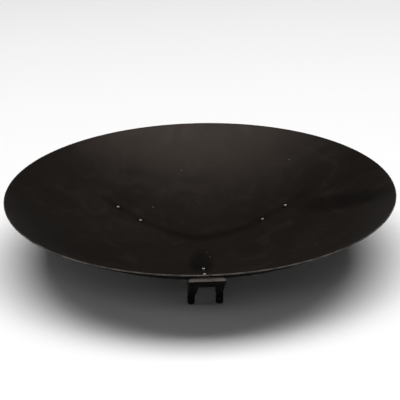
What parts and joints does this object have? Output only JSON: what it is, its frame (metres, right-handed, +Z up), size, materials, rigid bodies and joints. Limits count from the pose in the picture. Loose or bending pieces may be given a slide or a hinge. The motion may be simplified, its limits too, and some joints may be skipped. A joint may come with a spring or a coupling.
{
  "type": "solid parabolic dish",
  "caption": "Shallow solid parabolic dish of black sheet steel, carried face up on forked strap legs that are bolted to its underside.",
  "frame": {"origin": "on the floor under the dish axis, at the centre of the footprint", "axes": "+Z up along the dish axis, -Y towards the front leg"},
  "size_m": [0.6008, 0.6008, 0.108],
  "materials": {
    "dish_coat": "satin black with a warm cast",
    "leg_coat": "satin black",
    "fastener": "blackened steel with a bright top",
    "cap_rubber": "matt moulded black"
  },
  "bodies": {
    "root": {"dish_reflector": "dish_coat", "leg_front": "leg_coat", "leg_rear_right": "leg_coat", "leg_rear_left": "leg_coat", "bolt_front_inner": "fastener", "bolt_front_outer": "fastener", "bolt_rear_right_inner": "fastener", "bolt_rear_right_outer": "fastener", "bolt_rear_left_inner": "fastener", "bolt_rear_left_outer": "fastener", "washer_front_inner": "fastener", "washer_front_outer": "fastener", "washer_rear_right_inner": "fastener", "washer_rear_right_outer": "fastener", "washer_rear_left_inner": "fastener", "washer_rear_left_outer": "fastener", "nut_front_inner": "fastener", "nut_front_outer": "fastener", "nut_rear_right_inner": "fastener", "nut_rear_right_outer": "fastener", "nut_rear_left_inner": "fastener", "nut_rear_left_outer": "fastener", "foot_cap_front_a": "cap_rubber", "foot_cap_front_b": "cap_rubber", "foot_cap_rear_right_a": "cap_rubber", "foot_cap_rear_right_b": "cap_rubber", "foot_cap_rear_left_a": "cap_rubber", "foot_cap_rear_left_b": "cap_rubber"}
  },
  "joints": []
}
